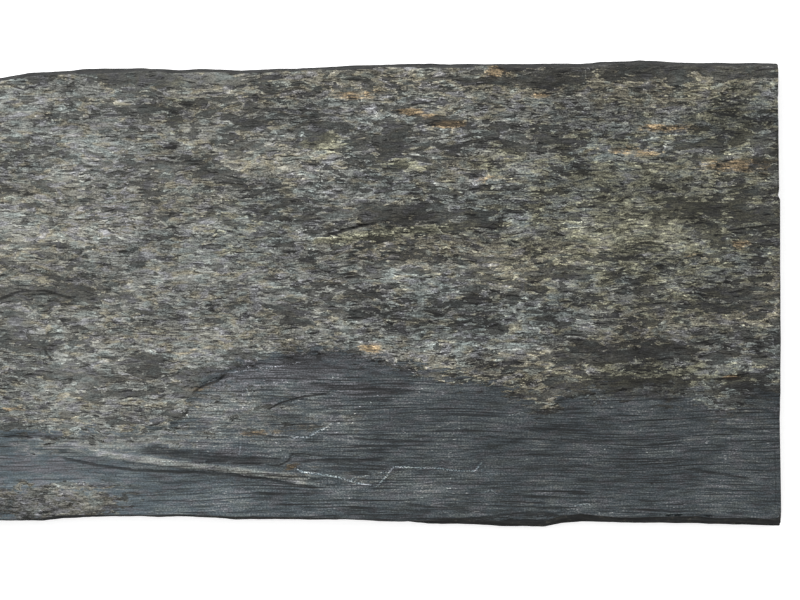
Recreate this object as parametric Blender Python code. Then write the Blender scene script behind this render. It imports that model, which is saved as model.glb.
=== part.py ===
"""Riven slate slab: one natural stone, split along its bedding.

The slab lies on its back with the riven face up. X runs along the grain (the long way), Y across
the slab and Z through its thickness. The origin is the centre of the slab's box on the resting
plane. The stone is built the way it splits: as a pile of thin sheets, each with its own ragged
rim, all joined into one solid. The end at +X is sawn, the other three sides are split and broken.
"""
import math
import random

import bmesh
import bpy
from mathutils import Matrix, Vector, noise

NAME = "slate_slab"

# Overall size, in metres. The outline below spans the length and the width.
LENGTH = 0.900
WIDTH = 0.460
THICKNESS = 0.030

# Outline of the slab, clockwise from the back left corner.
BACK_EDGE = [
    (-0.450, 0.172), (-0.434, 0.190), (-0.400, 0.199), (-0.356, 0.205), (-0.3165, 0.2122),
    (-0.299, 0.216), (-0.277, 0.218), (-0.240, 0.219), (-0.237, 0.221), (-0.179, 0.222),
    (-0.157, 0.221), (-0.154, 0.2195), (-0.1205, 0.221), (-0.081, 0.219), (-0.060, 0.221),
    (-0.003, 0.222), (0.0216, 0.224), (0.0755, 0.226), (0.257, 0.226), (0.276, 0.228),
    (0.311, 0.230), (0.350, 0.228), (0.369, 0.227),
]
SAWN_END = [
    (0.447, 0.227), (0.4459, 0.1916), (0.447, 0.1014), (0.446, 0.0956), (0.448, 0.0916),
    (0.448, 0.025), (0.449, -0.0456), (0.448, -0.124), (0.449, -0.183), (0.450, -0.229),
]
FRONT_EDGE = [
    (0.438, -0.2293), (0.409, -0.2288), (0.3695, -0.2269), (0.291, -0.2259), (0.252, -0.2249),
    (0.237, -0.2259), (0.227, -0.2283), (0.2176, -0.230), (0.193, -0.230), (0.144, -0.2279),
    (0.099, -0.2269), (0.095, -0.2249), (0.056, -0.2249), (0.0265, -0.2234), (-0.081, -0.223),
    (-0.101, -0.222), (-0.140, -0.2205), (-0.2185, -0.220), (-0.2607, -0.222),
    (-0.2675, -0.224), (-0.297, -0.2244), (-0.3165, -0.224), (-0.375, -0.225),
    (-0.424, -0.222), (-0.442, -0.210),
]
BROKEN_END = [(-0.450, -0.150), (-0.445, -0.070), (-0.449, 0.020), (-0.443, 0.100)]

# Sheets of the pile, from the resting plane up: low and high face, and the ledge that each leaves
# on its neighbour. The third sheet is the widest and takes the outline itself.
SHEETS = [
    {"low": 0.0000, "high": 0.0022, "ledge": 0.0044},
    {"low": 0.0016, "high": 0.0088, "ledge": 0.0024},
    {"low": 0.0082, "high": 0.0149, "ledge": 0.0002},
    {"low": 0.0142, "high": 0.0206, "ledge": 0.0009},
    {"low": 0.0199, "high": 0.0250, "ledge": 0.0010},
]
WIDEST_SHEET = 2
LEDGE_RANGE = (0.45, 2.0)
LEDGE_SCALE = 0.045
LEDGE_SEED_STEP = 3.7
FRONT_LIP = {"left": 0.082, "right": 0.112, "gain": 1.4}
RIM_SPACING = 0.019
RIM_RAGGEDNESS = 0.0005
RAGGED_SCALE = 0.009

# The two upper sheets cover the back of the slab. Their front rims are the steps of the riven face.
LOWER_STEP_RIM = [
    (-0.470, -0.143), (-0.345, -0.149), (-0.258, -0.153), (-0.190, -0.160), (-0.150, -0.166),
    (-0.100, -0.175), (-0.060, -0.182), (-0.023, -0.181), (0.020, -0.184), (0.055, -0.188),
    (0.068, -0.174), (0.110, -0.171), (0.152, -0.174), (0.158, -0.162), (0.172, -0.148),
    (0.215, -0.133), (0.262, -0.127), (0.330, -0.123), (0.372, -0.119), (0.470, -0.116),
]
UPPER_STEP_RIM = [
    (-0.470, -0.119), (-0.395, -0.124), (-0.317, -0.136), (-0.258, -0.142), (-0.189, -0.140),
    (-0.140, -0.124), (-0.125, -0.100), (-0.116, -0.083), (-0.086, -0.073), (-0.052, -0.065),
    (0.017, -0.057), (0.066, -0.070), (0.115, -0.080), (0.164, -0.090), (0.193, -0.102),
    (0.208, -0.114), (0.221, -0.116), (0.228, -0.106), (0.252, -0.098), (0.311, -0.096),
    (0.366, -0.094), (0.374, -0.108), (0.414, -0.111), (0.420, -0.097), (0.470, -0.101),
]
LOWER_STEP = {"low": 0.0244, "high": 0.0263, "ledge": 0.0012}
UPPER_STEP = {"low": 0.0258, "high": 0.0284, "ledge": 0.0014}
STEP_RAGGEDNESS = 0.0016
STEP_SEED_STEP = 5.3

# Broad flakes that stand on the face: centre, length, width, low and high face. In order: the front
# left corner, three along the back edge, the middle, and two on the front of the lower step.
BROAD_FLAKES = [
    {"x": -0.325, "y": -0.203, "length": 0.205, "width": 0.030, "low": 0.0240, "high": 0.0270},
    {"x": 0.350, "y": 0.208, "length": 0.180, "width": 0.024, "low": 0.0270, "high": 0.0297},
    {"x": -0.140, "y": 0.208, "length": 0.130, "width": 0.016, "low": 0.0270, "high": 0.0293},
    {"x": 0.213, "y": 0.211, "length": 0.060, "width": 0.015, "low": 0.0270, "high": 0.0294},
    {"x": 0.052, "y": 0.075, "length": 0.062, "width": 0.019, "low": 0.0270, "high": 0.0296},
    {"x": -0.085, "y": -0.148, "length": 0.150, "width": 0.026, "low": 0.0250, "high": 0.0272},
    {"x": 0.215, "y": -0.105, "length": 0.034, "width": 0.024, "low": 0.0240, "high": 0.0286},
]

# Small flakes over the upper step, one in each cell of a jittered grid.
CELL_JITTER = 0.32
FLAKE_COLUMNS = 11
FLAKE_ROWS = 6
FLAKE_FIELD = {"left": -0.430, "right": 0.435, "back": 0.205}
FLAKE_MARGIN = 0.014
FLAKE_LENGTH = (0.038, 0.088)
FLAKE_WIDTH = (0.010, 0.021)
FLAKE_RISE = (0.0006, 0.0013)
FLAKE_DEPTH = 0.0018
FLAKE_TILT = math.radians(2.2)
FLAKE_TURN = (math.radians(-5.0), math.radians(9.0))
FLAKE_REACH = (0.72, 1.0)
FLAKE_POINTS = 11
BROAD_FLAKE_POINTS = 18
FLAKE_SEED = 41

# Long low streaks along the grain on the smooth front of the face.
STREAKS = 9
STREAK_LENGTH = (0.080, 0.170)
STREAK_WIDTH = (0.006, 0.011)
STREAK_RISE = (0.0002, 0.0005)
STREAK_TURN = (math.radians(-2.0), math.radians(3.0))
STREAK_FIELD = {"left": -0.30, "right": 0.34}
STREAK_SEED = 5

# Shallow spalls, where a flake has come away: on the riven face and on the underside.
FACE_SPALLS = 12
FACE_SPALL_LENGTH = (0.035, 0.060)
FACE_SPALL_WIDTH = (0.012, 0.022)
FACE_SPALL_DEPTH = (0.0007, 0.0013)
FACE_SPALL_SEED = 7
BACK_SPALLS = 8
BACK_SPALL_LENGTH = (0.070, 0.130)
BACK_SPALL_WIDTH = (0.030, 0.060)
BACK_SPALL_DEPTH = (0.0008, 0.0014)
BACK_SPALL_SEED = 19
BACK_SPALL_BAND = (0.075, 0.170)
BACK_SPALL_REACH = 0.39
CUTTER_HEADROOM = 0.006

# Open cracks: middle, length, width at the mouth, depth and turn from the grain.
CRACKS = [
    {"x": -0.103, "y": -0.085, "length": 0.034, "width": 0.0028, "depth": 0.0026, "turn": 14.0},
    {"x": -0.033, "y": -0.107, "length": 0.044, "width": 0.0026, "depth": 0.0024, "turn": 12.0},
    {"x": 0.406, "y": -0.082, "length": 0.028, "width": 0.0024, "depth": 0.0022, "turn": -3.0},
    {"x": 0.024, "y": 0.064, "length": 0.058, "width": 0.0026, "depth": 0.0024, "turn": 12.0},
    {"x": -0.280, "y": -0.002, "length": 0.075, "width": 0.0026, "depth": 0.0022, "turn": 5.0},
    {"x": 0.300, "y": 0.140, "length": 0.050, "width": 0.0024, "depth": 0.0020, "turn": -4.0},
]

# The sawn end: how far the sheets run past it before the cut, and its worn upper arris.
SAW_OVERRUN = 0.012
ARRIS_X = 0.4485
ARRIS_WIDTH = 0.0018
ARRIS_TILT = math.radians(28.0)
CUTTER_REACH = 0.03
CORNER_CHIP = {"x": 0.4412, "y": -0.2200, "turn": 40.0, "tilt": 27.0}

WELD_DISTANCE = 0.00002

STONE_COLOUR = (0.118, 0.122, 0.112, 1.0)
STONE_ROUGHNESS = 0.78


def clear_scene():
    for item in list(bpy.data.objects):
        bpy.data.objects.remove(item, do_unlink=True)


def new_collection(name):
    group = bpy.data.collections.new(name)
    bpy.context.scene.collection.children.link(group)
    return group


def stone_material():
    material = bpy.data.materials.new("riven_slate")
    material.use_nodes = True
    shader = material.node_tree.nodes["Principled BSDF"]
    shader.inputs["Base Color"].default_value = STONE_COLOUR
    shader.inputs["Roughness"].default_value = STONE_ROUGHNESS
    shader.inputs["Metallic"].default_value = 0.0
    material.diffuse_color = STONE_COLOUR
    return material


def rectangle(left, right, front, back):
    return [Vector((left, front)), Vector((right, front)), Vector((right, back)), Vector((left, back))]


def resample(points, spacing):
    """Points at an even spacing along an open line, with its two ends kept."""
    line = [Vector(point) for point in points]
    lengths = [(b - a).length for a, b in zip(line, line[1:])]
    count = max(1, round(sum(lengths) / spacing))
    step = sum(lengths) / count
    result = [line[0]]
    index = 0
    passed = 0.0
    for number in range(1, count):
        target = number * step
        while passed + lengths[index] < target:
            passed += lengths[index]
            index += 1
        share = (target - passed) / lengths[index]
        result.append(line[index].lerp(line[index + 1], share))
    result.append(line[-1])
    return result


def ledge_width(point, mean, seed):
    """The ledge at a point of the rim: it wanders about its mean and never closes."""
    place_at = Vector((point.x / LEDGE_SCALE, point.y / LEDGE_SCALE, seed))
    low, high = LEDGE_RANGE
    share = min(max(0.5 + 0.9 * noise.noise(place_at), 0.0), 1.0)
    return mean * (low + (high - low) * share)


def lip_gain(point):
    """Toward the right of the front edge the lower sheets stand out as a broad lip."""
    if point.y > -0.2:
        return 1.0
    share = (point.x - FRONT_LIP["left"]) / (FRONT_LIP["right"] - FRONT_LIP["left"])
    return 1.0 + FRONT_LIP["gain"] * min(max(share, 0.0), 1.0)


def inward(line, index):
    """Unit normal of a clockwise outline at one of its points, toward the stone."""
    along = (line[(index + 1) % len(line)] - line[index - 1]).normalized()
    return Vector((along.y, -along.x))


def slab_rim():
    """The broken outline of the widest sheet. It runs past the sawn end, which is cut later."""
    past = LENGTH / 2 + SAW_OVERRUN
    front_right = (past, FRONT_EDGE[0][1])
    front = resample([front_right] + FRONT_EDGE, RIM_SPACING)
    left = resample([FRONT_EDGE[-1]] + BROKEN_END + [BACK_EDGE[0]], RIM_SPACING)
    back = resample(BACK_EDGE + [(past, BACK_EDGE[-1][1])], RIM_SPACING)
    line = back + front + left[1:-1]
    result = []
    for index, point in enumerate(line):
        place_at = Vector((point.x / RAGGED_SCALE, point.y / RAGGED_SCALE, 50.0))
        move = RIM_RAGGEDNESS * 2.0 * noise.noise(place_at)
        if point.x > LENGTH / 2:
            move = 0.0
        result.append(point + inward(line, index) * move)
    return result


def nested_rim(rim, number):
    """The rim of a sheet: the widest one's, moved inward by every ledge between the two."""
    pile = SHEETS + [LOWER_STEP, UPPER_STEP]
    upper = number > WIDEST_SHEET
    between = range(WIDEST_SHEET + 1, number + 1) if upper else range(number, WIDEST_SHEET)
    result = []
    for index, point in enumerate(rim):
        move = sum(ledge_width(point, pile[step]["ledge"], LEDGE_SEED_STEP * (step + 1))
                   for step in between)
        if upper:
            move *= lip_gain(point)
        normal = inward(rim, index)
        if point.x > LENGTH / 2:
            normal = Vector((0.0, -math.copysign(1.0, point.y)))
        result.append(point + normal * move)
    return result


def step_outline(rim, step_rim, seed):
    """An upper sheet's outline: its own rim at the back and left, and a ragged step in front."""
    line = resample(list(reversed(step_rim)), RIM_SPACING * 0.75)
    step = []
    for index, point in enumerate(line[1:-1], 1):
        along = (line[index + 1] - line[index - 1]).normalized()
        place_at = Vector((point.x / (2 * RAGGED_SCALE), point.y / (2 * RAGGED_SCALE), seed))
        move = STEP_RAGGEDNESS * 2.0 * noise.noise(place_at)
        step.append(point + Vector((along.y, -along.x)) * move)
    front = [index for index, point in enumerate(rim)
             if point.y < rim_height(step_rim, point.x) + STEP_RAGGEDNESS]
    back = rim[:front[0]]
    left = rim[front[-1] + 1:]
    past = back[-1].x
    step = [point for point in step if left[0].x + RIM_SPACING / 4 < point.x < past]
    return back + [Vector((past, step[0].y))] + step + left


def flake_outline(rng, length, width, count=FLAKE_POINTS):
    """A long lobed flake, pointed along the grain and ragged all round, about its own centre."""
    points = []
    for index in range(count):
        angle = 2.0 * math.pi * (index + rng.uniform(-0.25, 0.25)) / count
        reach = rng.uniform(*FLAKE_REACH)
        across = math.copysign(abs(math.sin(angle)) ** 0.8, math.sin(angle))
        points.append(Vector((math.cos(angle) * reach * length / 2, across * reach * width / 2)))
    return points


def prism(name, points, low, high, group):
    """A flat outline extruded between two heights, as a mesh with welded caps."""
    curve = bpy.data.curves.new(name + "_line", "CURVE")
    curve.dimensions = "2D"
    curve.fill_mode = "BOTH"
    curve.extrude = (high - low) / 2
    spline = curve.splines.new("POLY")
    spline.points.add(len(points) - 1)
    for target, point in zip(spline.points, points):
        target.co = (point.x, point.y, 0.0, 1.0)
    spline.use_cyclic_u = True
    source = bpy.data.objects.new(name + "_line", curve)
    source.location.z = (high + low) / 2
    bpy.context.scene.collection.objects.link(source)
    bpy.context.view_layer.update()
    evaluated = source.evaluated_get(bpy.context.evaluated_depsgraph_get())
    mesh = bpy.data.meshes.new_from_object(evaluated)
    mesh.name = name
    weld(mesh)
    solid = bpy.data.objects.new(name, mesh)
    solid.matrix_world = source.matrix_world
    group.objects.link(solid)
    bpy.data.objects.remove(source, do_unlink=True)
    bpy.data.curves.remove(curve)
    return solid


def weld(mesh):
    work = bmesh.new()
    work.from_mesh(mesh)
    bmesh.ops.remove_doubles(work, verts=work.verts, dist=WELD_DISTANCE)
    bmesh.ops.dissolve_degenerate(work, edges=work.edges, dist=WELD_DISTANCE / 4)
    bmesh.ops.recalc_face_normals(work, faces=work.faces)
    work.to_mesh(mesh)
    work.free()


def place(solid, x, y, z=0.0, turn=0.0, tilt=0.0):
    """Move a solid made about its own centre: tilt about the grain, turn in plan, then shift."""
    spin = Matrix.Rotation(turn, 4, "Z") @ Matrix.Rotation(tilt, 4, "X")
    solid.matrix_world = Matrix.Translation((x, y, z)) @ spin @ solid.matrix_world


def as_cutter(solid):
    solid.hide_render = True
    solid.display_type = "WIRE"
    return solid


def boolean(target, group, operation):
    """Join or cut the target with every solid of a collection, and keep the result as its mesh."""
    bpy.context.view_layer.update()
    modifier = target.modifiers.new(operation.lower(), "BOOLEAN")
    modifier.operation = operation
    modifier.operand_type = "COLLECTION"
    modifier.collection = group
    modifier.solver = "EXACT"
    evaluated = target.evaluated_get(bpy.context.evaluated_depsgraph_get())
    mesh = bpy.data.meshes.new_from_object(evaluated)
    target.modifiers.clear()
    target.data = mesh
    weld(mesh)


def clear_group(group):
    for item in list(group.objects):
        bpy.data.objects.remove(item, do_unlink=True)


def add_sheets(group):
    """The pile of full sheets and the two steps. The widest sheet is returned, to join the rest."""
    rim = slab_rim()
    solids = []
    for number, sheet in enumerate(SHEETS):
        outline = nested_rim(rim, number)
        solids.append(prism(f"sheet_{number}", outline, sheet["low"], sheet["high"], group))
    steps = [(LOWER_STEP, LOWER_STEP_RIM), (UPPER_STEP, UPPER_STEP_RIM)]
    for number, (sheet, step_rim) in enumerate(steps, len(SHEETS)):
        outline = step_outline(nested_rim(rim, number), step_rim, STEP_SEED_STEP * number)
        solids.append(prism(f"sheet_{number}", outline, sheet["low"], sheet["high"], group))
    return solids[WIDEST_SHEET]


def add_broad_flakes(group):
    rng = random.Random(FLAKE_SEED + 100)
    for number, flake in enumerate(BROAD_FLAKES):
        outline = flake_outline(rng, flake["length"], flake["width"], BROAD_FLAKE_POINTS)
        solid = prism(f"broad_flake_{number}", outline, flake["low"], flake["high"], group)
        place(solid, flake["x"], flake["y"])


def field_point(rng, column, columns, row, rows):
    """A jittered place on the upper step, in one cell of a grid that follows the step's rim."""
    field = FLAKE_FIELD
    share = (column + 0.5 + rng.uniform(-CELL_JITTER, CELL_JITTER)) / columns
    x = field["left"] + (field["right"] - field["left"]) * share
    front = rim_height(UPPER_STEP_RIM, x) + FLAKE_MARGIN
    share = (row + 0.5 + rng.uniform(-CELL_JITTER, CELL_JITTER)) / rows
    return x, front + (field["back"] - front) * share


def add_small_flakes(group):
    """Flakes that rise toward the front and sink into the step at the back."""
    rng = random.Random(FLAKE_SEED)
    for row in range(FLAKE_ROWS):
        for column in range(FLAKE_COLUMNS):
            x, y = field_point(rng, column, FLAKE_COLUMNS, row, FLAKE_ROWS)
            length = min(rng.uniform(*FLAKE_LENGTH), 2.0 * (x - FLAKE_FIELD["left"]) + 0.010)
            y = min(y, rim_height(BACK_EDGE, x - length / 2) - FLAKE_MARGIN)
            outline = flake_outline(rng, length, rng.uniform(*FLAKE_WIDTH))
            rise = rng.uniform(*FLAKE_RISE)
            solid = prism(f"flake_{row}_{column}", outline, -FLAKE_DEPTH, rise, group)
            turn = rng.uniform(*FLAKE_TURN)
            tilt = rng.uniform(0.3, 1.0) * FLAKE_TILT
            place(solid, x, y, UPPER_STEP["high"] - 0.0003, turn, tilt)


def add_streaks(group):
    """Streaks on the front of the face, between the lower step and the front edge."""
    rng = random.Random(STREAK_SEED)
    for number in range(STREAKS):
        length = rng.uniform(*STREAK_LENGTH)
        share = (number + rng.uniform(0.3, 0.7)) / STREAKS
        x = STREAK_FIELD["left"] + (STREAK_FIELD["right"] - STREAK_FIELD["left"]) * share
        back = rim_height(LOWER_STEP_RIM, x)
        y = back + (FRONT_EDGE[0][1] + FLAKE_MARGIN - back) * rng.uniform(0.25, 0.95)
        outline = flake_outline(rng, length, rng.uniform(*STREAK_WIDTH))
        rise = rng.uniform(*STREAK_RISE)
        solid = prism(f"streak_{number}", outline, -FLAKE_DEPTH, rise, group)
        turn = rng.uniform(*STREAK_TURN)
        place(solid, x, y, SHEETS[-1]["high"], turn, FLAKE_TILT * rng.uniform(0.4, 1.0))


def add_face_spalls(group):
    rng = random.Random(FACE_SPALL_SEED)
    for number in range(FACE_SPALLS):
        x, y = field_point(rng, number, FACE_SPALLS, number * 3 % 5, 5)
        length = rng.uniform(*FACE_SPALL_LENGTH)
        outline = flake_outline(rng, length, rng.uniform(*FACE_SPALL_WIDTH))
        depth = rng.uniform(*FACE_SPALL_DEPTH)
        solid = prism(f"face_spall_{number}", outline, -depth, CUTTER_HEADROOM, group)
        y = min(y, rim_height(BACK_EDGE, x) - FLAKE_MARGIN)
        place(as_cutter(solid), x, y, UPPER_STEP["high"])


def add_back_spalls(group):
    """Spalls in the underside. They leave the middle whole, where the slab's face is measured."""
    rng = random.Random(BACK_SPALL_SEED)
    for number in range(BACK_SPALLS):
        x = BACK_SPALL_REACH * ((2 * number + 1) / BACK_SPALLS - 1.0)
        side = 1.0 if number % 2 else -1.0
        y = side * rng.uniform(*BACK_SPALL_BAND)
        length = rng.uniform(*BACK_SPALL_LENGTH)
        outline = flake_outline(rng, length, rng.uniform(*BACK_SPALL_WIDTH))
        depth = rng.uniform(*BACK_SPALL_DEPTH)
        solid = prism(f"back_spall_{number}", outline, -CUTTER_HEADROOM, depth, group)
        place(as_cutter(solid), x, y)


def add_cracks(group):
    """Each crack is a long narrow four-sided slot, cut into the face nearly along the grain."""
    for number, crack in enumerate(CRACKS):
        half = Vector((crack["length"] / 2, crack["width"] / 2))
        outline = [Vector((-half.x, 0.0)), Vector((-half.x * 0.2, half.y))]
        outline += [Vector((half.x, 0.0)), Vector((half.x * 0.3, -half.y))]
        solid = prism(f"crack_{number}", outline, -crack["depth"], CUTTER_HEADROOM, group)
        top = face_height(crack["x"], crack["y"])
        place(as_cutter(solid), crack["x"], crack["y"], top, math.radians(crack["turn"]))


def face_height(x, y):
    """Height of the riven face at a point, before any flake or spall."""
    if y > rim_height(UPPER_STEP_RIM, x):
        return UPPER_STEP["high"]
    if y > rim_height(LOWER_STEP_RIM, x):
        return LOWER_STEP["high"]
    return SHEETS[-1]["high"]


def rim_height(rim, x):
    """Where a step's rim crosses a given X."""
    for (x0, y0), (x1, y1) in zip(rim, rim[1:]):
        if x0 <= x <= x1:
            return y0 + (y1 - y0) * (x - x0) / (x1 - x0)
    return rim[-1][1]


def add_saw_cut(group):
    """The sawn end, square to the face."""
    far = LENGTH / 2 + 3 * SAW_OVERRUN
    line = [Vector(point) for point in SAWN_END]
    line[0].y += CUTTER_REACH
    line[-1].y -= CUTTER_REACH
    outline = line + [Vector((far, line[-1].y)), Vector((far, line[0].y))]
    as_cutter(prism("saw_cut", outline, -CUTTER_REACH, THICKNESS + CUTTER_REACH, group))


def add_worn_arris(group):
    """A steep chamfer that takes the sharp upper arris off the sawn end."""
    outline = rectangle(0.0, CUTTER_REACH, -WIDTH, WIDTH)
    solid = as_cutter(prism("arris_cut", outline, -CUTTER_REACH, CUTTER_REACH, group))
    foot = THICKNESS - ARRIS_WIDTH / math.tan(ARRIS_TILT)
    lean = Matrix.Rotation(-ARRIS_TILT, 4, "Y")
    solid.matrix_world = Matrix.Translation((ARRIS_X, 0.0, foot)) @ lean @ solid.matrix_world


def add_corner_chip(group):
    """A sloping chip off the front corner of the sawn end."""
    outline = rectangle(-CUTTER_REACH, CUTTER_REACH, -CUTTER_REACH, 0.0)
    solid = as_cutter(prism("corner_chip", outline, 0.0, CUTTER_REACH, group))
    turn = math.radians(CORNER_CHIP["turn"])
    tilt = math.radians(CORNER_CHIP["tilt"])
    place(solid, CORNER_CHIP["x"], CORNER_CHIP["y"], SHEETS[-1]["high"], turn, tilt)


def centre(mesh):
    """Bring the middle of the box to X = Y = 0 and its lowest point to Z = 0."""
    xs = [point.co.x for point in mesh.vertices]
    ys = [point.co.y for point in mesh.vertices]
    low = min(point.co.z for point in mesh.vertices)
    middle = Vector(((min(xs) + max(xs)) / 2, (min(ys) + max(ys)) / 2, low))
    mesh.transform(Matrix.Translation(-middle))


def main():
    clear_scene()
    slab_group = new_collection(NAME)
    sheets = new_collection("sheets")
    flakes = new_collection("flakes")
    cutters = new_collection("cutters")
    base = add_sheets(sheets)
    sheets.objects.unlink(base)
    slab_group.objects.link(base)
    boolean(base, sheets, "UNION")
    add_broad_flakes(flakes)
    add_small_flakes(flakes)
    add_streaks(flakes)
    boolean(base, flakes, "UNION")
    add_face_spalls(cutters)
    add_back_spalls(cutters)
    add_cracks(cutters)
    add_saw_cut(cutters)
    add_worn_arris(cutters)
    add_corner_chip(cutters)
    boolean(base, cutters, "DIFFERENCE")
    clear_group(sheets)
    clear_group(flakes)
    base.name = NAME
    base.data.transform(base.matrix_world)
    base.matrix_world = Matrix.Identity(4)
    centre(base.data)
    base.data.name = NAME
    base.data.materials.clear()
    base.data.materials.append(stone_material())


main()
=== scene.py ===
"""Riven slate slab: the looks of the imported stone, as a Blender add-on that is run as a script."""

import math

import bmesh
import bpy
import numpy as np
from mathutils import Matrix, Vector, noise
from mathutils.bvhtree import BVHTree


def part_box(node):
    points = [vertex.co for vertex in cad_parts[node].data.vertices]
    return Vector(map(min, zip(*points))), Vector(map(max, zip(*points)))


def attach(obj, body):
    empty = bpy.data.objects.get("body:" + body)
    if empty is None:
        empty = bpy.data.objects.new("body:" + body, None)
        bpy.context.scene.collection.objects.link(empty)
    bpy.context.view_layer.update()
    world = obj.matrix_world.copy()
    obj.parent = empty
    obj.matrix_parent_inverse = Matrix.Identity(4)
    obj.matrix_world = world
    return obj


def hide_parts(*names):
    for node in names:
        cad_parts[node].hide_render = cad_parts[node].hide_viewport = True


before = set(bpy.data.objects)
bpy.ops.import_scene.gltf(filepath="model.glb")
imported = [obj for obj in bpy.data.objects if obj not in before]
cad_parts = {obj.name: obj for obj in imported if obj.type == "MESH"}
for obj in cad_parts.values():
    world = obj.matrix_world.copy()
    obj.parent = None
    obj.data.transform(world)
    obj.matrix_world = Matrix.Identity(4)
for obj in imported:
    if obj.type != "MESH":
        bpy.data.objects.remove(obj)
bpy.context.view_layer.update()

bl_info = {
    "name": "Riven Slate Slab",
    "version": (1, 0, 0),
    "blender": (4, 5, 0),
    "location": "3D View > Sidebar > Slate",
    "description": "Builds a riven slate slab and a plain stage for it",
    "category": "Object",
}

NODE = "slate_slab"
BODY = "root"
MM = 0.001
RIVEN, SIDE, BACK = range(3)
FINISH_NAMES = ("Face finish", "Side finish", "Back finish")

# Cells of the riven face along and across the grain, and how many of them one cell of the
# underside spans.
FACE_COLUMNS = 280
FACE_ROWS = 265
BACK_STRIDE_X = 4
BACK_STRIDE_Y = 5
RELAX_ROUNDS = 400

# Lengths in metres. The rings lie on the split sides; above them are two more, at shares of what
# is left up to the rim.
SIDE_RINGS = (
    0.0, 0.0006, 0.0018, 0.0027, 0.0055, 0.0083, 0.0093, 0.0118, 0.0143, 0.0153, 0.0178, 0.0200,
    0.0211,
)
UPPER_RING_SHARES = (0.45, 0.82)
LOWEST_CAST = 0.0002
RIM_INSET = 0.0030
RIM_DROP = 0.0004
RIM_STEP = 0.0004
BACK_INSET = 0.0035
SPINE_REACH = 0.22
RAY_LENGTH = 2.0
CAST_FROM = 0.2
USUAL_TOP = 0.025
DEEPEST_SPALL = 0.005
FACE_SAMPLES = ((0.0, 0.0), (0.0011, 0.0), (-0.0011, 0.0), (0.0, 0.00066), (0.0, -0.00066))
BACK_SAMPLES = [(x, y) for x in (-0.006, 0.0, 0.006) for y in (-0.004, 0.0, 0.004)]
FACE_WANDER = (0.00396, 0.0022)

# Waves for each metre along and across, which the steps of the face wander with.
BROAD_WAVES = (60.0, 130.0)
FINE_WAVES = (240.0, 420.0)

# How much of the relief and the fray is left where face and sides meet, at the ground and at the
# sawn right end.
SHARED_EDGE = 0.4
GROUND_FRAY = 0.3
GROUND_HEIGHT = 0.0004
SAWN_FRAY = 0.12
SAWN_FROM = 0.4475
SAWN_FADE = 0.002

# The bands of the bake map: where the face and the underside start and how much they fill, and
# where the front, the rear and the two ends start.
FACE_BAND = (0.001, 0.698)
BACK_BAND = (0.705, 0.185)
SIDE_BAND = 0.028
FRONT_START = 0.900
REAR_START = 0.935
ENDS_START = 0.970
RIGHT_END_START = 0.52
END_WIDTH = 0.47
MAP_MARGIN = 0.004
MAP_HEIGHT = 0.034

# The stage, in metres. The floor lies just under the stone, the key light shines from behind on
# the left, and the camera looks straight down at the aim and sees this width of the face.
FLOOR_LEVEL = -0.0003
FLOOR_REACH = 6.0
KEY_PLACE = (-1.3, 1.9, 1.7)
AIM = (0.0755, -0.0064)
SEEN_WIDTH = 0.784
FACE_LEVEL = 0.028
SENSOR = 36.0

# Where the rough crust ends and the smooth front begins, as points along the grain. All the places
# below are in millimetres from the middle of the slab.
CRUST_LINE = [
    (-470, -119), (-395, -124), (-317, -136), (-258, -142), (-189, -140), (-140, -124),
    (-125, -100), (-116, -83), (-86, -73), (-52, -65), (17, -57), (66, -70), (115, -80), (164, -90),
    (193, -102), (208, -114), (221, -116), (228, -106), (252, -98), (311, -96), (366, -94),
    (374, -108), (414, -111), (420, -97), (470, -101),
]

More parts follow.
